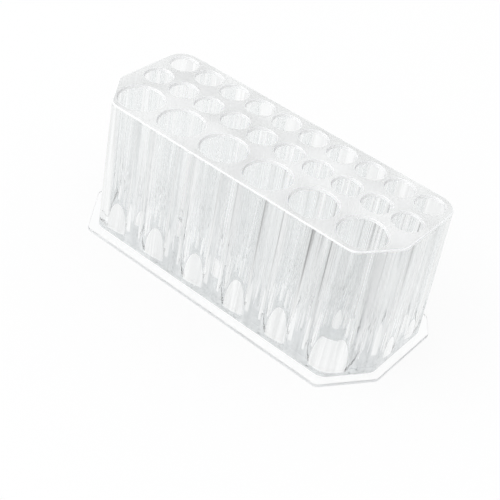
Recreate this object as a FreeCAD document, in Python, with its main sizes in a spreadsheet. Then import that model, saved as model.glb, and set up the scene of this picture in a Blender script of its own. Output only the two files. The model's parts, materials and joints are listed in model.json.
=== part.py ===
import FreeCAD, Part
import os
import Sketcher

# A clear vanity organizer in millimetres, +Z up: a thick moulded block of round wells,
# closed from below by a thin base plate that is bonded to it and stands out all round.
# The origin is the middle of the plate's underside. The rows run along X, and the small
# wells are at the back, towards +Y.

SIZES = {
    # The wells. A web is the plastic between two neighbours, at its thinnest.
    "small_bore": 11.0,
    "small_web": 2.5,
    "small_count": 10,
    "large_bore": 18.0,
    "large_web": 3.4,
    "large_count": 6,
    "small_row_web": 4.3,
    "large_row_web": 3.3,
    # The lead-in round each mouth.
    "rim_width": 0.55,
    "rim_depth": 1.1,
    # The block. Its walls are measured at the top, and each side leans out by the draft.
    "back_wall": 2.9,
    "front_wall": 2.9,
    "end_wall": 3.2,
    "corner_wall": 1.6,
    "corner_angle": 54.5,
    "front_corner_radius": 6.0,
    "block_height": 59.3,
    "block_draft": 1.4,
    "top_edge_radius": 0.5,
    # The plate. A lip is how far it stands out past the foot of the block.
    "plate_thickness": 1.2,
    "side_lip": 3.4,
    "front_lip": 4.6,
    "corner_lip": 3.6,
    "plate_corner_radius": 3.0,
    "plate_edge_break": 0.25,
    # How far a cutting profile runs past the faces that it opens.
    "overrun": 1.0,
}

# Where the wells are. A reach is the distance from the middle of a row to its last well.
small_radius = "(Sizes.small_bore / 2)"
large_radius = "(Sizes.large_bore / 2)"
small_pitch = "(Sizes.small_bore + Sizes.small_web)"
large_pitch = "(Sizes.large_bore + Sizes.large_web)"
small_span = f"({small_pitch} * (Sizes.small_count - 1))"
large_span = f"({large_pitch} * (Sizes.large_count - 1))"
small_reach = f"({small_span} / 2)"
large_reach = f"({large_span} / 2)"

# Half the block's depth and length at the top: the rows and the webs and walls round them.
small_depth = "(Sizes.back_wall + 2 * Sizes.small_bore + Sizes.small_row_web)"
large_depth = "(Sizes.large_row_web + Sizes.large_bore + Sizes.front_wall)"
half_depth = f"(({small_depth} + {large_depth}) / 2)"
small_row_end = f"{small_reach} + {small_radius}"
large_row_end = f"{large_reach} + {large_radius}"
half_length = f"(max({small_row_end}; {large_row_end}) + Sizes.end_wall)"

back_row_y = f"({half_depth} - Sizes.back_wall - {small_radius})"
middle_row_y = f"({back_row_y} - Sizes.small_bore - Sizes.small_row_web)"
front_row_y = f"({large_radius} + Sizes.front_wall - {half_depth})"

block_foot = "Sizes.plate_thickness"
block_top = "(Sizes.plate_thickness + Sizes.block_height)"

# A corner is cut off along a slanting line. Its offset is its distance from the origin,
# and clears the end wells of the front and middle rows by the corner wall.
lean = "sin(Sizes.corner_angle)"
rise = "cos(Sizes.corner_angle)"
large_clear = f"{lean} * {large_reach} - {rise} * {front_row_y} + {large_radius}"
small_clear = f"{lean} * {small_reach} - {rise} * {middle_row_y} + {small_radius}"
front_cut = f"(max({large_clear}; {small_clear}) + Sizes.corner_wall)"

# The back corners are rounded about the last small wells.
back_corner_radius = f"({small_radius} + Sizes.back_wall)"


def grown(formula, amount):
    """The formula of a size that grows by an amount."""
    return f"({formula} + {amount})"


def cut_corner(offset, side, edge):
    """The ends of a slanting corner cut: its x on the front or back edge, then its y on the side.

    The cut lies where lean times x plus rise times y, both counted outwards, equals the offset.
    """
    return f"(({offset} - {rise} * {edge}) / {lean})", f"(({offset} - {lean} * {side}) / {rise})"


def mirrored(right_corners):
    """The whole outline, anticlockwise, from its right-hand corners listed front to back."""
    left_corners = [(f"-{x}", y) for x, y in reversed(right_corners)]
    return right_corners + left_corners


def block_outline():
    """The block's outline at the top, with its two front corners cut off."""
    cut_x, cut_y = cut_corner(front_cut, half_length, half_depth)
    return mirrored([(cut_x, f"-{half_depth}"), (half_length, f"-{cut_y}"), (half_length, half_depth)])


def plate_outline():
    """The plate's outline: the block's foot and a lip all round, with all four corners cut off."""
    side = grown(half_length, "Sizes.block_draft + Sizes.side_lip")
    edge = grown(half_depth, "Sizes.block_draft + Sizes.front_lip")
    foot_lip = "Sizes.block_draft + Sizes.corner_lip"
    front_x, front_y = cut_corner(grown(front_cut, foot_lip), side, edge)
    arc_x = f"({half_length} - {back_corner_radius})"
    arc_y = f"({half_depth} - {back_corner_radius})"
    foot_x = grown(arc_x, "Sizes.block_draft")
    foot_y = grown(arc_y, "Sizes.block_draft")
    back_cut = f"({lean} * {foot_x} + {rise} * {foot_y} + {back_corner_radius} + Sizes.corner_lip)"
    back_x, back_y = cut_corner(back_cut, side, edge)
    return mirrored([(front_x, f"-{edge}"), (side, f"-{front_y}"), (side, back_y), (back_x, edge)])


def well_profile(radius):
    """Half the section of a well: its bore, its lead-in and a run past both faces of the block."""
    mouth = f"({radius} + Sizes.rim_width)"
    below = f"({block_foot} - Sizes.overrun)"
    above = f"({block_top} + Sizes.overrun)"
    return [
        ("0", below),
        (radius, below),
        (radius, f"({block_top} - Sizes.rim_depth)"),
        (mouth, block_top),
        (mouth, above),
        ("0", above),
    ]


def sketch_on(body, name, role):
    """An empty sketch on one of the body's own origin planes."""
    sketch = body.newObject("Sketcher::SketchObject", name)
    plane = next(item for item in body.Origin.OriginFeatures if item.Role == role)
    sketch.AttachmentSupport = [(plane, "")]
    sketch.MapMode = "FlatFace"
    return sketch


def draw(sketch, corners):
    """A closed outline of straight lines, each corner held at its formulas from the origin."""
    root, root_point, line_start, line_end = -1, 1, 1, 2
    sheet_points = [[float(sketch.evalExpression(f)) for f in corner] for corner in corners]
    points = [FreeCAD.Vector(x, y, 0) for x, y in sheet_points]
    following = points[1:] + points[:1]
    for start, end in zip(points, following):
        sketch.addGeometry(Part.LineSegment(start, end))
    for line in range(len(points)):
        neighbour = (line + 1) % len(points)
        sketch.addConstraint(Sketcher.Constraint("Coincident", line, line_end, neighbour, line_start))
    for line, corner in enumerate(corners):
        for kind, formula, value in zip(("DistanceX", "DistanceY"), corner, sheet_points[line]):
            held = Sketcher.Constraint(kind, root, root_point, line, line_start, value)
            number = sketch.addConstraint(held)
            sketch.setExpression(f"Constraints[{number}]", formula)


def edge_names(shape, wanted):
    """The names of the edges of a shape that a test picks out."""
    return [f"Edge{number}" for number, edge in enumerate(shape.Edges, start=1) if wanted(edge)]


def face_names(shape, wanted):
    """The names of the faces of a shape that a test picks out."""
    return [f"Face{number}" for number, face in enumerate(shape.Faces, start=1) if wanted(face)]


def dress(body, kind, name, wanted, key, formula):
    """A fillet or chamfer on the edges of the body's last feature that a test picks out."""
    base = body.Tip
    doc.recompute()
    feature = body.newObject(kind, name)
    feature.Base = (base, edge_names(base.Shape, wanted))
    feature.setExpression(key, formula)
    doc.recompute()


def is_upright(body):
    """A test for the edges that run up the whole body."""
    half_height = body.Shape.BoundBox.ZLength / 2
    return lambda edge: edge.BoundBox.ZLength > half_height


def is_top(body):
    """A test for the edges round the body's upper face."""
    middle = body.Shape.BoundBox.Center.z
    return lambda edge: edge.BoundBox.ZMin > middle


def well_row(body, name, radius, row_y, reach, span, count):
    """A row of wells: one turned at the left end, then repeated along the row."""
    sketch = sketch_on(body, f"{name}Profile", "XZ_Plane")
    sketch.setExpression("AttachmentOffset.Base.x", f"-{reach}")
    sketch.setExpression("AttachmentOffset.Base.z", f"-{row_y}")
    draw(sketch, well_profile(radius))
    well = body.newObject("PartDesign::Groove", f"{name}Well")
    well.Profile = sketch
    well.ReferenceAxis = (sketch, ["V_Axis"])
    doc.recompute()
    row = body.newObject("PartDesign::LinearPattern", f"{name}Row")
    along = next(item for item in body.Origin.OriginFeatures if item.Role == "X_Axis")
    row.Originals = [well]
    row.Direction = (along, [""])
    row.setExpression("Length", span)
    row.setExpression("Occurrences", count)
    body.Tip = row
    doc.recompute()


def make_holder_block():
    """The moulded block: drafted sides, rounded corners and three rows of wells right through it."""
    body = doc.addObject("PartDesign::Body", "HolderBlock")
    body.Label = "holder_block"
    sketch = sketch_on(body, "TopOutline", "XY_Plane")
    sketch.setExpression("AttachmentOffset.Base.z", block_top)
    draw(sketch, block_outline())
    pad = body.newObject("PartDesign::Pad", "StraightBlock")
    pad.Profile = sketch
    pad.Reversed = True
    pad.setExpression("Length", "Sizes.block_height")
    doc.recompute()
    draft = body.newObject("PartDesign::Draft", "DraftedBlock")
    draft.Base = (pad, face_names(pad.Shape, lambda face: round(face.normalAt(0, 0).z) == 0))
    draft.NeutralPlane = (pad, face_names(pad.Shape, lambda face: round(face.normalAt(0, 0).z) == 1))
    draft.setExpression("Angle", "atan(Sizes.block_draft / Sizes.block_height)")
    doc.recompute()

    upright = is_upright(body)
    dress(body, "PartDesign::Fillet", "BackCorners",
          lambda edge: upright(edge) and edge.BoundBox.Center.y > 0, "Radius", back_corner_radius)
    dress(body, "PartDesign::Fillet", "FrontCorners",
          lambda edge: upright(edge) and edge.BoundBox.Center.y < 0,
          "Radius", "Sizes.front_corner_radius")
    dress(body, "PartDesign::Fillet", "TopEdge", is_top(body), "Radius", "Sizes.top_edge_radius")

    for name, row_y in (("Back", back_row_y), ("Middle", middle_row_y)):
        well_row(body, name, small_radius, row_y, small_reach, small_span, "Sizes.small_count")
    well_row(body, "Front", large_radius, front_row_y, large_reach, large_span, "Sizes.large_count")
    return body


def make_base_plate():
    """The bonded plate that closes the wells: a flat sheet with its corners cut and eased."""
    body = doc.addObject("PartDesign::Body", "BasePlate")
    body.Label = "base_plate"
    sketch = sketch_on(body, "PlateOutline", "XY_Plane")
    draw(sketch, plate_outline())
    pad = body.newObject("PartDesign::Pad", "Plate")
    pad.Profile = sketch
    pad.setExpression("Length", "Sizes.plate_thickness")
    doc.recompute()
    dress(body, "PartDesign::Fillet", "PlateCorners", is_upright(body),
          "Radius", "Sizes.plate_corner_radius")
    dress(body, "PartDesign::Chamfer", "PlateEdge", is_top(body), "Size", "Sizes.plate_edge_break")
    return body


def check_wells(block):
    """Every well has to be cut: what is left of the block is less than the block without its bores."""
    outline = doc.getObject("TopEdge").Shape.Volume
    bores = 0
    for bore, count in (("small_bore", 2 * SIZES["small_count"]), ("large_bore", SIZES["large_count"])):
        bores += count * Part.makeCylinder(SIZES[bore] / 2, SIZES["block_height"]).Volume
    if block.Shape.Volume > outline - bores:
        raise RuntimeError("a row of wells is not cut right through the block")


doc = FreeCAD.newDocument("vanity_organizer")
sheet = doc.addObject("Spreadsheet::Sheet", "Sizes")
for row_number, (alias, amount) in enumerate(SIZES.items(), start=1):
    sheet.set(f"A{row_number}", alias)
    sheet.set(f"B{row_number}", str(amount))
    sheet.setAlias(f"B{row_number}", alias)
doc.recompute()

pieces = [make_holder_block(), make_base_plate()]
doc.recompute()

for item in doc.Objects:
    if "Invalid" in item.State or "Error" in item.State:
        raise RuntimeError(f"{item.Name} failed: {item.State}")
for piece in pieces:
    if piece.Shape.isNull() or not piece.Shape.isValid():
        raise RuntimeError(f"{piece.Label} has no valid shape")
check_wells(pieces[0])

os.makedirs("parts", exist_ok=True)
for piece in pieces:
    piece.Shape.exportStep(f"parts/{piece.Label}.step")
    box = piece.Shape.BoundBox
    print(piece.Label, [round(side, 2) for side in (box.XLength, box.YLength, box.ZLength)],
          len(piece.Shape.Solids), "solid", round(piece.Shape.Volume / 1000, 2), "cm3")
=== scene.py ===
# %% [markdown]
# # A clear vanity organizer
# The real object is a thick block of water-clear plastic with twenty-six round wells, bonded to a thin
# clear plate that stands out round its foot like a flange. The packed CAD model is the fixed frame: each
# piece made here takes its place and its sizes from that frame, so nothing has to be fitted by eye.

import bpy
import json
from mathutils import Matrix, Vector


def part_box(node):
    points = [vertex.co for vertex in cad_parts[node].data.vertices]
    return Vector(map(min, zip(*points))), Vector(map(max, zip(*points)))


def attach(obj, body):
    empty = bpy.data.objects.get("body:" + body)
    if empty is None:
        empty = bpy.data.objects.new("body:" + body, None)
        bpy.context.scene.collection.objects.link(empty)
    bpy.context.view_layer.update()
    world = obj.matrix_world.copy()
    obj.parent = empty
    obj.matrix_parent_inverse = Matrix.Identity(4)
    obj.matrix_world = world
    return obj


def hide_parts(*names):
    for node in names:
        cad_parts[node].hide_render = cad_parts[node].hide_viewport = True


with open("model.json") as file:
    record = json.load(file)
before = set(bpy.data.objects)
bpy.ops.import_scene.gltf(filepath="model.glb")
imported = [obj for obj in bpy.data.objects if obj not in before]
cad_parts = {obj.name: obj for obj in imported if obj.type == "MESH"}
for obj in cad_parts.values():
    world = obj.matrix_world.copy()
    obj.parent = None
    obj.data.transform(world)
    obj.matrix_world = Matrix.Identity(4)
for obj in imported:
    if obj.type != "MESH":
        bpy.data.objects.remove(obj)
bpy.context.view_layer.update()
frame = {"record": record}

# %% [markdown]
# ## Tools and units
# Every surface is worked out as whole arrays with numpy, and Blender only receives the finished points
# and faces. Lengths are in metres, as in the frame.

# %% Libraries and units
import json

import bpy
import numpy as np
from mathutils import Matrix
from mathutils.geometry import delaunay_2d_cdt

MM = 0.001
MICRON = 1e-6
print("Blender", bpy.app.version_string, "and numpy", np.__version__)

# %% [markdown]
# ## Where the wells stand
# A well is a straight round bore, open at the top and closed below by the plate. The record states the
# free space in each well as an upright box that fits inside its bore. The middle of that box is the
# well's axis, and its half width is a fixed share of the bore's radius, so both can be read back.

# %% Read the wells
BOX_SHARE = 0.7

boxes = np.array([opening["box_m"] for opening in frame["record"]["physics"]["openings"]])
well_centre = boxes[:, :, :2].mean(axis=1)
well_radius = (boxes[:, 1, 0] - boxes[:, 0, 0]) / 2 / BOX_SHARE
print(len(well_radius), "wells, radii in mm:", sorted(set(np.round(well_radius / MM, 2))))

# %% [markdown]
# ## Outlines with rounded corners
# Seen from above, the block and the plate are polygons with rounded corners. Each could be a bevelled
# curve, but a clear solid shows every slip of its surface as a bent reflection, so the outline is kept
# as numbers: which way each side faces, how far it lies from the middle, and the radius of each corner.
# Every point then has an exact facing, and a drafted wall only moves the corner centres.

# %% The outline of a rounded polygon
CORNER_STEPS = 25


def direction(angle):
    """The unit vector of each angle: its cosine and its sine."""
    return np.stack([np.cos(angle), np.sin(angle)], -1)


class Outline:
    """A convex polygon with rounded corners.
    Side i faces the angle facing[i] and lies at distance[i] from the middle. Corner i joins side i to
    the next side. Its centre is the point that lies radius[i] inside both sides, and when every side
    moves out by one, the centre moves by the vector whose dot product with both facings is one."""

    def __init__(self, facing, distance, radius):
        facing, distance = np.radians(facing), np.array(distance)
        self.radius = np.array(radius)
        after = np.roll(facing, -1)
        after[-1] += 2 * np.pi
        sides = np.stack([direction(facing), direction(after)], 1)
        inside = np.stack([distance, np.roll(distance, -1)], 1) - self.radius[:, None]
        self.centre = np.linalg.solve(sides, inside[..., None])[..., 0]
        self.shift = np.linalg.solve(sides, np.ones_like(inside)[..., None])[..., 0]
        share = np.linspace(0, 1, CORNER_STEPS)
        self.ray = direction(facing[:, None] + (after - facing)[:, None] * share)

    def loop(self, grow=0.0, inset=0.0):
        """Points of the outline with every side moved out by grow, then the whole moved in by inset:
        corner centre + shift * grow + (radius - inset) * (cosine, sine of the angle)."""
        middle = self.centre + self.shift * grow
        return (middle[:, None] + (self.radius - inset)[:, None, None] * self.ray).reshape(-1, 2)

    def rays(self):
        """The outward facing of each loop point, and how far the wall there moves per unit of grow."""
        moved = (self.ray * self.shift[:, None]).sum(-1)
        return self.ray.reshape(-1, 2), moved.reshape(-1)


square = Outline([0.0, 90.0, 180.0, 270.0], [1.0] * 4, [0.5] * 4)
print("a try: a square with rounded corners has", len(square.loop()), "points")

# %% [markdown]
# ## Profiles with softened corners
# No moulded or cut edge is perfectly sharp, and on clear plastic the tiny rounding is what draws the
# thin bright and dark lines along every edge. A Bevel modifier could do it, but here each profile gets
# its own small arcs before it is carried along its path, so that they meet the flat runs without a crease.

# %% Round the corners of a profile
def soft_profile(corners, radii, steps):
    """Points and normals of an open profile whose inner corners are rounded.
    At a corner that turns by t, an arc of radius r starts r * tan(t / 2) before the corner; its centre
    lies r behind the run's facing, and its points are the centre plus r times the turning facing."""
    corners, radii = np.array(corners), np.array(radii)
    ahead = np.diff(corners, axis=0)
    ahead /= np.linalg.norm(ahead, axis=1, keepdims=True)
    facing = np.stack([ahead[:, 1], -ahead[:, 0]], 1)
    angle = np.unwrap(np.arctan2(facing[:, 1], facing[:, 0]))
    turn = np.diff(angle)
    bend = (np.sign(turn) * radii)[:, None]
    start = corners[1:-1] - ahead[:-1] * (radii * np.tan(np.abs(turn) / 2))[:, None]
    normals = direction(angle[:-1, None] + turn[:, None] * np.linspace(0, 1, steps))
    arcs = (start - bend * facing[:-1])[:, None] + bend[:, None] * normals
    points = np.concatenate([corners[:1], arcs.reshape(-1, 2), corners[-1:]])
    return points, np.concatenate([facing[:1], normals.reshape(-1, 2), facing[-1:]])


elbow = soft_profile([(0.0, 0.0), (1.0, 0.0), (1.0, 1.0)], [0.2], 7)[0]
print("a try: a right angle becomes", len(elbow), "points")

# %% [markdown]
# ## A skin of patches
# A clear piece has to be one closed skin, or light inside it gets lost. The skin is made of patches:
# walls that carry a profile round an outline, wells that turn a profile about an axis, and flat faces.
# Points that patches share are joined by their rounded coordinates, and each face corner keeps the exact
# normal of its own patch, so curved walls stay smooth and edges stay crisp.

# %% Collect patches and weld them into one mesh
WELD = 0.01 * MICRON


class Skin:
    """Patches of points, normals and faces that become one mesh, each with a finish by number."""

    def __init__(self):
        self.points, self.normals, self.faces, self.finish = [], [], [], []
        self.count = 0

    def add(self, points, normals, faces, finish):
        """Adds a patch; finish is one number, or one for each face."""
        self.points.append(points)
        self.normals.append(normals)
        self.faces.append(faces + self.count)
        self.finish.append(np.broadcast_to(finish, len(faces)))
        self.count += len(points)

    def mesh(self, name, materials):
        """Points that round to the same multiple of WELD become one vertex."""
        points, normals = np.concatenate(self.points), np.concatenate(self.normals)
        cell = np.round(points / WELD).astype(np.int64)
        first, same = np.unique(cell, axis=0, return_index=True, return_inverse=True)[1:]
        same = same.reshape(-1)
        mesh = bpy.data.meshes.new(name)
        polygons = [row for faces in self.faces for row in same[faces].tolist()]
        mesh.from_pydata(points[first].tolist(), [], polygons)
        for material in materials:
            mesh.materials.append(material)
        mesh.polygons.foreach_set("material_index", np.concatenate(self.finish).astype(np.int32))
        mesh.polygons.foreach_set("use_smooth", np.ones(len(polygons), bool))
        corner = np.concatenate([normals[faces].reshape(-1, 3) for faces in self.faces])
        mesh.normals_split_custom_set(corner.tolist())
        mesh.update()
        return mesh


def grid_faces(rows, columns):
    """Four-cornered faces of a grid of rows x columns points, row by row, with the last row joined to
    the first."""
    row, column = np.arange(rows)[:, None], np.arange(columns - 1)[None]
    here, there = row * columns + column, (row + 1) % rows * columns + column
    return np.stack([here, there, there + 1, here + 1], -1).reshape(-1, 4)


print("a try: a ring of 4 x 3 points has", len(grid_faces(4, 3)), "faces")

# %% [markdown]
# ## Walls and wells
# A wall is a profile carried round an outline, and a well is a profile turned about its axis. Sweeping a
# curve could make both, but then the draft would turn the corners wrongly: here each height has its own
# outline, and the normals come from the same formula as the points.

# %% A wall carried round an outline
def wall(outline, profile, facing, level):
    """A profile of (outward, height) carried round an outline.
    Outward values above level follow the draft, which moves whole sides, and values below it round the
    edge inwards. The draft tilts a corner's normal by how far that corner moves per unit of draft."""
    grow = np.maximum(profile[:, 0], level)
    inset = grow - profile[:, 0]
    loops = np.stack([outline.loop(g, i) for g, i in zip(grow, inset)], 1)
    ray, moved = outline.rays()
    shape = loops.shape[:2] + (1,)
    points = np.concatenate([loops, np.broadcast_to(profile[:, 1:], shape)], -1)
    normals = np.concatenate(
        [ray[:, None] * facing[None, :, :1], np.broadcast_to(facing[:, 1:], shape)], -1
    )
    normals[..., 2] *= np.where(inset > 0, 1, moved[:, None])
    normals /= np.linalg.norm(normals, axis=-1, keepdims=True)
    return points.reshape(-1, 3), normals.reshape(-1, 3), grid_faces(*loops.shape[:2])


upright, outward = np.array([(0.0, 0.0), (0.0, 1.0)]), np.array([(1.0, 0.0), (1.0, 0.0)])
print("a try: a wall round the square has", len(wall(square, upright, outward, 0.0)[2]), "faces")

# %% Wells turned about their axes
WELL_STEPS = 120

turn_ray = direction(np.linspace(0, 2 * np.pi, WELL_STEPS, endpoint=False))


def turned_wells(profile, facing):
    """A profile of (radius, height) turned about every well's axis at once:
    axis + radius * (cosine, sine of the angle), at the profile's height."""
    ray = turn_ray[None, :, None]
    flat = well_centre[:, None, None] + profile[:, None, :, :1] * ray
    shape = flat.shape[:3] + (1,)
    points = np.concatenate([flat, np.broadcast_to(profile[:, None, :, 1:], shape)], -1)
    normals = np.concatenate(
        [np.broadcast_to(facing[:, None, :, :1] * ray, flat.shape),
         np.broadcast_to(facing[:, None, :, 1:], shape)], -1
    )
    rings = profile.shape[1]
    before = np.arange(len(well_centre)) * WELL_STEPS * rings
    faces = grid_faces(WELL_STEPS, rings)[None] + before[:, None, None]
    return points.reshape(-1, 3), normals.reshape(-1, 3), faces.reshape(-1, 4)


def well_loops(radius):
    """One ring of points round each well, at the given radii."""
    return list(well_centre[:, None] + radius[:, None, None] * turn_ray)


step = 2 * np.pi * well_radius.max() / WELL_STEPS
print("a step round the largest well is", round(step / MM, 2), "mm long")

# %% [markdown]
# ## Flat faces with round holes
# The top of the block is flat, with twenty-six holes in it. It could be cut with booleans, but those
# leave slivers. A Delaunay net over the loops' own points fills the face, then each triangle is kept or
# dropped by where its middle lies, and the face shares every edge point with the walls it meets.

# %% Fill a flat face between loops
SAME_POINT = 1e-7  # in millimetres, as the net is


def flat_face(loops, height, up):
    """Triangles over the plane at this height between closed loops, and the middle of each triangle.
    up is 1 for a face that looks up and -1 for one that looks down."""
    flat = np.concatenate(loops)
    size = np.array([len(loop) for loop in loops])
    start = np.repeat(np.cumsum(size) - size, size)
    step = np.arange(len(flat)) - start
    edges = np.stack([start + step, start + (step + 1) % np.repeat(size, size)], 1)
    triangles, sources = delaunay_2d_cdt((flat / MM).tolist(), edges.tolist(), [], 0, SAME_POINT)[2:4]
    faces = np.array([ids[0] for ids in sources])[np.array(triangles)]
    corner = flat[faces]
    side_a, side_b = corner[:, 1] - corner[:, 0], corner[:, 2] - corner[:, 0]
    turns = side_a[:, 0] * side_b[:, 1] - side_a[:, 1] * side_b[:, 0]
    faces = np.where((turns * up > 0)[:, None], faces, faces[:, ::-1])
    points = np.concatenate([flat, np.full((len(flat), 1), height)], -1)
    normals = np.broadcast_to([0.0, 0.0, float(up)], points.shape)
    return points, normals, faces, corner.mean(axis=1)


def in_wells(middle, radius):
    """True for points that lie in any of the wells."""
    away = np.linalg.norm(middle[:, None] - well_centre[None], axis=-1)
    return (away < radius[None]).any(axis=1)


def inside_loop(middle, loop):
    """True for points on the inner side of every edge of a convex loop."""
    along = np.roll(loop, -1, axis=0) - loop
    out = middle[:, None] - loop[None]
    return (along[None, :, 0] * out[..., 1] - along[None, :, 1] * out[..., 0] > 0).all(axis=1)


print("a try: the filled square has", len(flat_face([square.loop()], 0.0, 1)[2]), "triangles")

# %% [markdown]
# ## Shader maths
# A finish is a small sum of patterns. Wiring each sum by hand hides what it says, so one class wraps a
# node's output and lets Python's own plus, minus and times add the Math nodes. Every other node comes
# from one method that takes its type, its settings and its sockets.

# %% A value in a node tree
class Value:
    """One output of a node. Arithmetic with other values or numbers adds Math nodes."""

    def __init__(self, tree, socket=None):
        self.tree, self.socket = tree, socket

    def node(self, kind, settings=None, sockets=None, out=0):
        """Adds a node of this type, sets it up, then gives its sockets their values or links."""
        made = self.tree.nodes.new(kind)
        for name, setting in (settings or {}).items():
            setattr(made, name, setting)
        for name, given in (sockets or {}).items():
            if isinstance(given, Value):
                self.tree.links.new(given.socket, made.inputs[name])
            else:
                made.inputs[name].default_value = given
        return Value(self.tree, made.outputs[out] if made.outputs else None)

    def maths(self, operation, *others):
        """A Math node on this value and the others, in that order."""
        numbers = dict(enumerate((self,) + others))
        return self.node("ShaderNodeMath", {"operation": operation}, numbers)

    def __add__(self, other):
        return self.maths("ADD", other)

    __radd__ = __add__

    def __mul__(self, other):
        return self.maths("MULTIPLY", other)

    __rmul__ = __mul__

    def __sub__(self, other):
        return self.maths("SUBTRACT", other)

    def __rsub__(self, other):
        return self * -1.0 + other

    def between(self, low, high):
        """0 below low, 1 above high, and a smooth step between them."""
        smooth = {"interpolation_type": "SMOOTHSTEP"}
        return self.node("ShaderNodeMapRange", smooth, {"Value": self, "From Min": low, "From Max": high})


print("a value can be asked for:", [name for name in vars(Value) if not name.startswith("_")])

# %% [markdown]
# ## Patterns and colours
# All finishes share a few helpers: a new material, patches of noise, a colour between two colours and
# the plastic's own shader. The patterns read Object coordinates, so they stay on the piece when it moves.

# %% Helpers for the finishes
PLASTIC_IOR = 1.58
EVEN = (1.0, 1.0, 1.0)


def new_material(name):
    """An empty node material, and a value to start its expressions from."""
    material = bpy.data.materials.new(name)
    material.use_nodes = True
    material.node_tree.nodes.clear()
    return material, Value(material.node_tree)


def show(start, shader, kind="ShaderNodeOutputMaterial"):
    """Sends a shader to the tree's output."""
    start.node(kind, None, {"Surface": shader})


def noise(start, scale, stretch=EVEN, detail=1.0):
    """Soft noise with about scale spots per metre, fewer along an axis where stretch is small."""
    place = start.node("ShaderNodeTexCoord", out="Object")
    place = start.node("ShaderNodeMapping", None, {"Vector": place, "Scale": stretch})
    return start.node("ShaderNodeTexNoise", None, {"Vector": place, "Scale": scale, "Detail": detail})


def patches(start, kind, stretch=EVEN, detail=1.0):
    """Noise with its ends cut off. kind gives its scale, and where the step begins and ends."""
    scale, low, high = kind
    return noise(start, scale, stretch, detail).between(low, high)


def opaque(colour):
    """Three numbers get a full alpha; a value stays as it is."""
    return colour if isinstance(colour, Value) else tuple(colour) + (1.0,)


def mixed(start, share, first, second):
    """A colour between two colours."""
    sockets = {0: share, 6: opaque(first), 7: opaque(second)}
    return start.node("ShaderNodeMix", {"data_type": "RGBA"}, sockets, out=2)


def principled(start, sockets):
    """The shader that every finish of the object ends in."""
    return start.node("ShaderNodeBsdfPrincipled", None, sockets)


print("index of refraction:", PLASTIC_IOR)

# %% [markdown]
# ## Clear plastic
# The plastic is water-clear and polished. Principled with full transmission bends and mirrors light as
# the real plastic does. The walls were drawn off long cores, which leaves fine upright marks, and broad
# shallow waves bend what is seen behind them. On the outer walls the upright marks also carry painted
# shade: grey bands and dark lines in the tint stand in for the darker surroundings seen through them.
# Marks and waves come from noise that is squeezed flat along the height, so each mark runs almost
# unbroken from the top to the foot. The flat faces have only soft clouds, where the melt flowed together.
# The top is tinted most, which gives the thick block under it a pale grey: that tint is painted shade,
# the shadow under the block seen through the top. Handling has left it a little less glossy in places.

# %% Marks in the plastic
UPRIGHT = (1.0, 1.0, 0.02)
WAVY = (1.0, 1.0, 0.15)
BANDS = (260.0, 0.36, 0.62)
DARK_HAIRS_AND_SHADE = (560.0, 0.56, 0.66)
LIGHT_HAIRS = (430.0, 0.57, 0.65)
BAND_BASE, BAND_RISE, HAIR_DEPTH = 0.3, 0.6, 0.7
CLOUDS = (45.0, 0.3, 0.7)
HAZE = (60.0, 0.50, 0.78)
WAVES = 130.0


def drawn_marks_and_shade(start):
    """Marks of the cores, with painted shade in them: soft bands, darkened by some fine hairs and
    lightened by others.
    """
    bands = patches(start, BANDS, UPRIGHT) * BAND_RISE + BAND_BASE
    dark_hairs_and_shade = patches(start, DARK_HAIRS_AND_SHADE, UPRIGHT)
    light_hairs = patches(start, LIGHT_HAIRS, UPRIGHT)
    return (bands * (1.0 - dark_hairs_and_shade * HAIR_DEPTH)).maths("MAXIMUM", light_hairs)


def flow_marks(start):
    """Marks of the melt on a flat face: broad soft clouds."""
    return patches(start, CLOUDS)


print("millimetres from band to band, about:", round(1 / BANDS[0] / MM, 1))

# %% Finish of the walls and of the flat faces
def clear_plastic(name, marks, dark, light, wave, haze=0.0):
    """Clear polished plastic. The marks mix its tint between dark and light, a bump makes waves of the
    given height, and patches of handling raise the roughness by up to haze."""
    material, start = new_material(name)
    waves = noise(start, WAVES, WAVY)
    plastic = principled(start, {
        "Base Color": mixed(start, marks(start), dark, light),
        "Roughness": patches(start, HAZE, detail=4.0) * haze if haze else 0.0,
        "IOR": PLASTIC_IOR,
        "Transmission Weight": 1.0,
        "Normal": start.node("ShaderNodeBump", None, {"Height": waves, "Strength": 1.0, "Distance": wave}),
    })
    show(start, plastic)
    return material


# The darker tint of the outer walls is painted shade for the darker surroundings seen through them.
side_plastic_painted_shade = clear_plastic(
    "clear_side_wall_painted_shade", drawn_marks_and_shade, dark=(0.72, 0.73, 0.73), light=(0.995, 1.0, 1.0), wave=4 * MICRON
)
well_plastic = clear_plastic(
    "clear_well_wall", drawn_marks_and_shade, dark=(0.97, 0.975, 0.975), light=(0.99, 0.995, 0.995), wave=3 * MICRON
)
# The grey tint of the top face is painted shade: the shadow under the block seen through the top.
top_plastic_painted_shade = clear_plastic(
    "clear_top_face_painted_shade", flow_marks, dark=(0.66, 0.665, 0.665), light=(0.86, 0.865, 0.865), wave=MICRON,
    haze=0.012,
)
sheet_plastic = clear_plastic(
    "clear_sheet", flow_marks, dark=(0.985, 0.99, 0.99), light=(0.998, 1.0, 1.0), wave=MICRON
)
print("materials:", [m.name for m in (side_plastic_painted_shade, well_plastic, top_plastic_painted_shade, sheet_plastic)])

# %% [markdown]
# ## Cut edges
# The plate was sawn out of a sheet, and its narrow sides were left satin. Fully clear rough plastic would
# show there as a dark line, but the real edge is a thin pale one, because the saw marks also scatter some
# of the light. So the transmission is only partial, and fine upright marks vary the roughness.

# %% Finish of the cut edges
SAW_MARKS = 900.0
SAWN = (1.0, 1.0, 0.05)
SATIN_BASE, SATIN_RISE = 0.25, 0.3
SATIN_CLEAR = 0.75


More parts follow.
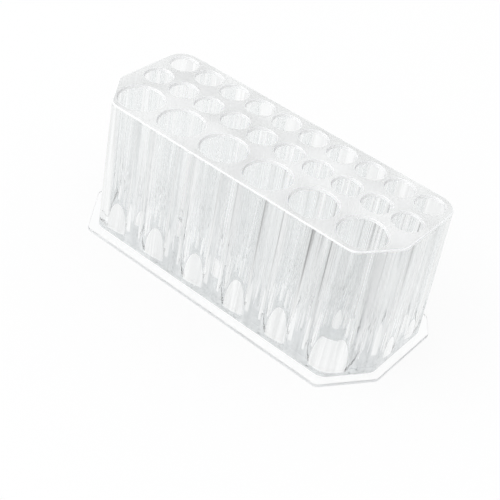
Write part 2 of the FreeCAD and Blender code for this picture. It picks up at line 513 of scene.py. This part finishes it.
def cut_edge(name):
    """Mostly clear plastic with a satin surface, crossed by fine saw marks."""
    material, start = new_material(name)
    satin = principled(start, {
        "Base Color": opaque((0.95, 0.955, 0.955)),
        "Roughness": noise(start, SAW_MARKS, SAWN, detail=2.0) * SATIN_RISE + SATIN_BASE,
        "IOR": PLASTIC_IOR,
        "Transmission Weight": SATIN_CLEAR,
    })
    show(start, satin)
    return material


edge_plastic = cut_edge("satin_cut_edge")
print("material:", edge_plastic.name)

# %% [markdown]
# ## Milky edges with a painted highlight
# The top edge and the mouths of the wells get a milky finish, which paints the thin white highlight line
# round the top and round each mouth. Most of the light is scattered there instead of passing through, so
# the transmission is low, and the milkiness is uneven.

# %% Finish of the milky highlight edges
EDGE_UNEVENNESS = (350.0, 0.3, 0.7)
EDGE_ROUGH_BASE, EDGE_ROUGH_RISE = 0.2, 0.3
HIGHLIGHT_CLEAR = 0.25


def highlight_edge(name):
    """Plastic that is partly clear and mostly milky, which paints a white highlight line, with a gloss
    that varies along the edge.
    """
    material, start = new_material(name)
    unevenness = patches(start, EDGE_UNEVENNESS, detail=3.0)
    milky = principled(start, {
        "Base Color": mixed(start, unevenness, (0.96, 0.965, 0.965), (0.995, 1.0, 1.0)),
        "Roughness": unevenness * EDGE_ROUGH_RISE + EDGE_ROUGH_BASE,
        "IOR": PLASTIC_IOR,
        "Transmission Weight": HIGHLIGHT_CLEAR,
    })
    show(start, milky)
    return material


rim_highlight_plastic = highlight_edge("milky_painted_highlight_edge")
print("material:", rim_highlight_plastic.name)

# %% [markdown]
# ## The bonded joint
# Block and plate are bonded without a gap, so light passes from one into the other unbent. The two faces
# that touch therefore get a clear finish with an index of one, which bends and mirrors nothing. A real
# bond never wets evenly: it has faint cloudy patches, and small dark specks of trapped air that show
# through the top and at the foot of the block. The cloudy patches also carry painted shade: they draw the
# uneven light and shade from under the block as pale grey streaks on its top.

# %% Finish of the bonded faces
WETTING_AND_SHADE = (190.0, 0.40, 0.66)
AIR_SPECKS = (520.0, 0.70, 0.76)


def bonded_face(name):
    """A joint that lets light straight through, apart from cloudy patches that also paint shade, and
    sparse dark specks.
    """
    material, start = new_material(name)
    # The cloudy patches are uneven wetting and also painted shade, seen as grey streaks through the top.
    cloudy = patches(start, WETTING_AND_SHADE, detail=2.0)
    colour = mixed(start, cloudy, (0.995, 1.0, 1.0), (0.94, 0.945, 0.945))
    joint = principled(start, {
        "Base Color": mixed(start, patches(start, AIR_SPECKS), colour, (0.35, 0.36, 0.37)),
        "Roughness": 0.0,
        "IOR": 1.0,
        "Transmission Weight": 1.0,
    })
    show(start, joint)
    return material


bond = bonded_face("bonded_joint")
print("material:", bond.name)

# %% [markdown]
# ## The holder block
# Its sides lean out a little towards the foot, the back corners are rounded about the last small wells,
# and the front corners are cut off at a slant beside the last large wells. All of that follows from the
# wells' places and a few wall thicknesses, so the outline is worked out from them. The front looks
# towards minus y. The foot stays a hair above the plate, because faces in one place would turn black.

# %% Outline of the block
CUT_ANGLE = 54.5
DRAFT = 1.4 * MM
BACK_WALL = 2.9 * MM
CUT_WALL = 1.6 * MM
FRONT_CORNER = 6.0 * MM
BOND_GAP = 0.005 * MM
DEPTH_FIRST = 3  # depth counts more than length, so that a front well is found
RIGHT, BACK, LEFT, FRONT = 0.0, 90.0, 180.0, 270.0

block_low, block_high = (np.array(corner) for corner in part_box("holder_block"))
half_length, half_depth = block_high[:2] - DRAFT
foot, top = block_low[2] + BOND_GAP, block_high[2]
cut_facing = np.array([np.sin(np.radians(CUT_ANGLE)), np.cos(np.radians(CUT_ANGLE))])
last_large = np.argmax(well_centre[:, 0] - DEPTH_FIRST * well_centre[:, 1])
cut_distance = cut_facing @ (well_centre[last_large] * [1, -1]) + well_radius[last_large] + CUT_WALL
back_corner = well_radius.min() + BACK_WALL
block_outline = Outline(
    [RIGHT, BACK, LEFT, LEFT + 90 - CUT_ANGLE, FRONT, FRONT + CUT_ANGLE],
    [half_length, half_depth, half_length, cut_distance, half_depth, cut_distance],
    [back_corner, back_corner, FRONT_CORNER, FRONT_CORNER, FRONT_CORNER, FRONT_CORNER],
)
print("cut corner at", round(cut_distance / MM, 2), "mm, back corner radius", round(back_corner / MM, 2))

# %% Sides and top edge of the block
TOP_EDGE, EDGE_STEPS = 0.5 * MM, 9
SIDE, DECK, JOINT, WELL, RIM = range(5)
block_finishes = [side_plastic_painted_shade, top_plastic_painted_shade, bond, well_plastic, rim_highlight_plastic]

profile, facing = soft_profile(
    [(DRAFT, foot), (0.0, top), (-2 * TOP_EDGE, top)], [TOP_EDGE], EDGE_STEPS
)
profile, facing = profile[:-1], facing[:-1]
around = wall(block_outline, profile, facing, profile[1, 0])
band = np.arange(len(around[2])) % (len(profile) - 1)
block_skin = Skin()
# The rounded top edge gets the milky finish that paints the white highlight line.
block_skin.add(*around, np.where(band > 0, RIM, SIDE))
deck_loop = block_outline.loop(profile[1, 0], profile[1, 0] - profile[-1, 0])
foot_loop = block_outline.loop(DRAFT)
print("faces on the sides and the top edge:", len(around[2]))

# %% [markdown]
# ## The mouths of the wells
# Each mouth has a small lead-in: a slope from the top into the bore, softened at both ends. The first
# rounding and the slope get the milky finish that paints the highlight line, and the rest of the bore
# is clear.

# %% Wells of the block
RIM_WIDTH, RIM_DEPTH = 0.55 * MM, 1.1 * MM
LIP, LIP_STEPS = 0.14 * MM, 5

lip, lip_facing = soft_profile(
    [(RIM_WIDTH + 2 * LIP, 0.0), (RIM_WIDTH, 0.0), (0.0, -RIM_DEPTH), (0.0, foot - top)],
    [LIP, 2 * LIP], LIP_STEPS,
)
lip, lip_facing = lip[1:], lip_facing[1:]
height = np.broadcast_to(top + lip[:, 1], (len(well_radius), len(lip)))
bore = np.stack([well_radius[:, None] + lip[None, :, 0], height], -1)
turned = turned_wells(bore, np.broadcast_to(lip_facing, bore.shape))
band = np.arange(len(turned[2])) % (len(lip) - 1)  # the first LIP_STEPS bands end with the slope
block_skin.add(*turned, np.where(band < LIP_STEPS, RIM, WELL))
print("faces in the wells:", len(turned[2]))

# %% [markdown]
# ## The flat faces of the block
# The top is a plane between the softened outer edge and the softened mouths. The foot is a plane between
# the outer edge and the plain bores. Both are filled in the same way, and then all patches are welded.

# %% Top face and foot of the block
for loop, radius, height, up, finish in (
    (deck_loop, bore[:, 0, 0], top, 1, DECK),
    (foot_loop, well_radius, foot, -1, JOINT),
):
    points, normals, faces, middle = flat_face([loop] + well_loops(radius), height, up)
    kept = faces[~in_wells(middle, radius)]
    block_skin.add(points, normals, kept, finish)
    print("flat face at", round(height / MM, 2), "mm:", len(kept), "triangles")

# %% Put the block together
block_mesh = block_skin.mesh("holder_block_clear", block_finishes)
block = bpy.data.objects.new("holder_block_clear", block_mesh)
bpy.context.scene.collection.objects.link(block)
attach(block, "root")
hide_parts("holder_block")
print("block:", len(block_mesh.vertices), "points,", len(block_mesh.polygons), "faces")

# %% [markdown]
# ## Is it closed?
# Light only bends rightly in a skin without gaps, and with its faces turned outwards. Both can be
# measured: in a closed skin every edge has two faces, and the volume comes out positive.

# %% Measure a closed piece
CM3_IN_M3 = 1e6


def measured(piece):
    """Volume in cubic centimetres from the signed sum of the faces' tetrahedra, the number of edges
    without exactly two faces, and the number of triangles."""
    mesh = piece.data
    mesh.calc_loop_triangles()
    corner = np.empty(len(mesh.loop_triangles) * 3, np.int32)
    mesh.loop_triangles.foreach_get("vertices", corner)
    corner = corner.reshape(-1, 3)
    place = np.empty(len(mesh.vertices) * 3)
    mesh.vertices.foreach_get("co", place)
    a, b, c = np.moveaxis(place.reshape(-1, 3)[corner], 1, 0)
    edge = np.sort(np.stack([corner, np.roll(corner, -1, 1)], -1), -1)
    used = np.unique(edge.reshape(-1, 2), axis=0, return_counts=True)[1]
    volume = np.einsum("ij,ij->i", a, np.cross(b, c)).sum() / 6
    return round(volume * CM3_IN_M3, 2), int((used != 2).sum()), len(corner)


print("holder block: volume, open edges, triangles", measured(block))

# %% [markdown]
# ## The base plate
# A thin clear sheet with its four corners cut off. It closes the wells from below and stands out all
# round. Its upper side is one plane with three kinds of place: the free flange, the bonded area under
# the block's walls, and the round floors of the wells, so that plane is filled once and then sorted.

# %% Outline of the plate
PLATE_CORNER = 3.0 * MM
CORNER_LIP = 3.6 * MM

plate_low, plate_high = (np.array(corner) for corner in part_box("base_plate"))
under, over = plate_low[2], plate_high[2]
long_way, short_way = plate_high[:2]
back_centre = np.array([half_length, half_depth]) + DRAFT - back_corner
back_cut = cut_facing @ back_centre + back_corner + CORNER_LIP
front_cut = cut_distance + DRAFT + CORNER_LIP
plate_outline = Outline(
    [RIGHT, BACK - CUT_ANGLE, BACK, BACK + CUT_ANGLE,
     LEFT, LEFT + 90 - CUT_ANGLE, FRONT, FRONT + CUT_ANGLE],
    [long_way, back_cut, short_way, back_cut, long_way, front_cut, short_way, front_cut],
    [PLATE_CORNER] * 8,
)
print("plate corners cut at", round(back_cut / MM, 2), "and", round(front_cut / MM, 2), "mm")

# %% Skin of the plate
EDGE_BREAK, EDGE_SOFT, SOFT_STEPS = 0.25 * MM, 0.08 * MM, 4
RUN_IN = 1.0 * MM
EDGE, SHEET, BONDED = range(3)

profile, facing = soft_profile(
    [(-RUN_IN, under), (0.0, under), (0.0, over - EDGE_BREAK), (-EDGE_BREAK, over), (-RUN_IN, over)],
    [EDGE_SOFT] * 3, SOFT_STEPS,
)
profile, facing = profile[1:-1], facing[1:-1]
plate_skin = Skin()
plate_skin.add(*wall(plate_outline, profile, facing, 0.0), EDGE)
points, normals, faces, middle = flat_face([plate_outline.loop(0.0, -profile[0, 0])], under, -1)
plate_skin.add(points, normals, faces, SHEET)
loops = [plate_outline.loop(0.0, -profile[-1, 0]), foot_loop] + well_loops(well_radius)
points, normals, faces, middle = flat_face(loops, over, 1)
bonded = inside_loop(middle, foot_loop) & ~in_wells(middle, well_radius)
plate_skin.add(points, normals, faces[~bonded], SHEET)
plate_skin.add(points, normals, faces[bonded], BONDED)
print("triangles on the upper side:", len(faces), "of which bonded:", int(bonded.sum()))

# %% Put the plate together
plate_mesh = plate_skin.mesh("base_plate_clear", [edge_plastic, sheet_plastic, bond])
plate = bpy.data.objects.new("base_plate_clear", plate_mesh)
bpy.context.scene.collection.objects.link(plate)
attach(plate, "root")
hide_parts("base_plate")
print("base plate: volume, open edges, triangles", measured(plate))

# %% [markdown]
# ## The studio floor
# A clear object shows little of itself and much of what is round it. It stands on a white floor that
# runs off on all sides. In front of it, where the room is darker, the floor looks greyer through the
# plastic, which gives the walls their soft greys. To the eye the floor is white, and it keeps a share of
# its own lit colour, so that a soft shadow stays.

# %% Shape of the floor
FLOOR_GAP = 0.1 * MM
FLOOR_REACH, FLOOR_SIDES = 12.0, 64

rim = direction(np.linspace(0, 2 * np.pi, FLOOR_SIDES, endpoint=False)) * FLOOR_REACH
floor_points = np.concatenate([rim, np.full((FLOOR_SIDES, 1), -FLOOR_GAP)], -1)
floor_mesh = bpy.data.meshes.new("studio_floor")
floor_mesh.from_pydata(floor_points.tolist(), [], [list(range(FLOOR_SIDES))])
floor = bpy.data.objects.new("studio_floor", floor_mesh)
bpy.context.scene.collection.objects.link(floor)
print("floor:", 2 * FLOOR_REACH, "m across")

# %% Finish of the floor
WHITE, BLACK, FLOOR_COLOUR = (1.0, 1.0, 1.0), (0.0, 0.0, 0.0), (0.92, 0.92, 0.92)
FLOOR_WHITE = 0.9
FRONT_WAY = (0.766, -0.643)
FRONT_GREY, FRONT_FADE = 0.70, 0.04
NOT_ZERO = 1e-6

floor_paint, start = new_material("white_floor")
eye, mirrored, through = (
    start.node("ShaderNodeLightPath", out=ray)
    for ray in ("Is Camera Ray", "Is Glossy Ray", "Is Transmission Ray")
)
place = start.node("ShaderNodeTexCoord", out="Object")
across, along = (start.node("ShaderNodeSeparateXYZ", None, {"Vector": place}, out=axis) for axis in "XY")
reach = (across * across + along * along + NOT_ZERO).maths("SQRT")
front = (across * FRONT_WAY[0] + along * FRONT_WAY[1]).maths("DIVIDE", reach).maths("MAXIMUM", 0.0)
beyond = (across.maths("ABSOLUTE") - long_way).maths("MAXIMUM", along.maths("ABSOLUTE") - short_way)
dimmed = front * front * beyond.between(0.0, FRONT_FADE) * (1.0 - eye) * FRONT_GREY
shown = (eye * FLOOR_WHITE).maths("MAXIMUM", mirrored).maths("MAXIMUM", through)
lit = start.node("ShaderNodeBsdfDiffuse", None, {"Color": opaque(FLOOR_COLOUR)})
shade = mixed(start, dimmed, WHITE, BLACK)
glow = start.node("ShaderNodeEmission", None, {"Color": shade, "Strength": 1.0})
show(start, start.node("ShaderNodeMixShader", None, {0: shown, 1: lit, 2: glow}))
floor_mesh.materials.append(floor_paint)
print("material:", floor_paint.name)

# %% [markdown]
# ## The sky
# A plain white sky lights the object from all sides. A picture of a studio could do that, but two tones
# are enough: white near the horizon, and a little less overhead, so that the flat top doesn't glare.

# %% Sky
SKY_TINT = np.array((0.985, 0.99, 1.0))
HORIZON, OVERHEAD = 1.0, 0.78
SKY_TURN = (0.4, 0.95)

world = bpy.data.worlds.new("studio_sky")
bpy.context.scene.world = world
world.use_nodes = True
world.node_tree.nodes.clear()
start = Value(world.node_tree)
look = start.node("ShaderNodeTexCoord", out="Generated")
upward = start.node("ShaderNodeSeparateXYZ", None, {"Vector": look}, out="Z")
colour = mixed(start, upward.between(*SKY_TURN), SKY_TINT * HORIZON, SKY_TINT * OVERHEAD)
sky = start.node("ShaderNodeBackground", None, {"Color": colour, "Strength": 1.0})
show(start, sky, "ShaderNodeOutputWorld")
print("sky:", HORIZON, "at the horizon,", OVERHEAD, "overhead")

# %% [markdown]
# ## The lamp
# One large softbox stands in front and to the left. It draws the highlights along the top edges and the
# soft shadow. It isn't seen through the plastic, where its square shape would show in every well.

# %% Softbox
KEY_PLACE = np.array((-0.92, -1.39, 1.43))
KEY_SIZE, KEY_POWER = 2.0, 19.0
UP = (0.0, 0.0, 1.0)


def placed(thing, place, ahead, up):
    """Puts a lamp or a camera at a place so that it looks ahead. Its own axes are the side, ahead x up,
    then side x ahead, then the opposite of ahead."""
    ahead = ahead / np.linalg.norm(ahead)
    side = np.cross(ahead, up)
    side /= np.linalg.norm(side)
    turn = np.stack([side, np.cross(side, ahead), -ahead], 1)
    thing.matrix_world = Matrix.Translation(place) @ Matrix(turn.tolist()).to_4x4()
    bpy.context.scene.collection.objects.link(thing)


lamp = bpy.data.lights.new("key_softbox", "AREA")
lamp.size = KEY_SIZE
lamp.energy = KEY_POWER
softbox = bpy.data.objects.new("key_softbox", lamp)
softbox.visible_transmission = False
placed(softbox, KEY_PLACE, -KEY_PLACE, UP)
print("softbox at", round(float(np.linalg.norm(KEY_PLACE)), 2), "m")

# %% [markdown]
# ## The camera
# The viewpoint was worked out from the object's own edges, so the frame matches: the lens, the place
# and the turn of the camera are written down as they were found.

# %% Camera
EYE = np.array((0.18826, -0.29187, 0.28989))
AHEAD = np.array((-0.42259, 0.65362, -0.62785))
UPWARD = np.array((-0.49325, 0.41531, 0.76435))
LENS, SENSOR, NEAREST = 79.35, 36.0, 10 * MM

lens = bpy.data.cameras.new("viewpoint")
lens.lens = LENS
lens.sensor_width = SENSOR
lens.clip_start = NEAREST
camera = bpy.data.objects.new("viewpoint", lens)
placed(camera, EYE, AHEAD, UPWARD)
bpy.context.scene.camera = camera
print("camera at", round(float(np.linalg.norm(EYE)), 3), "m with a lens of", LENS, "mm")

# %% [markdown]
# ## Light paths
# In a clear block with many wells, light is bent and mirrored dozens of times before it comes out. If
# the paths end too early, the deep places turn black, so the limits are raised well above the defaults.

# %% Light paths and view
CLEAR_BOUNCES = 64

scene = bpy.context.scene
scene.view_settings.view_transform = "Standard"
scene.cycles.max_bounces = CLEAR_BOUNCES
scene.cycles.glossy_bounces = CLEAR_BOUNCES
scene.cycles.transmission_bounces = CLEAR_BOUNCES
scene.cycles.transparent_max_bounces = CLEAR_BOUNCES
print("bounces:", scene.cycles.max_bounces)

# %% [markdown]
# ## Size and finish
# The dressed pieces have to fill the same box as the solids that they stand for.
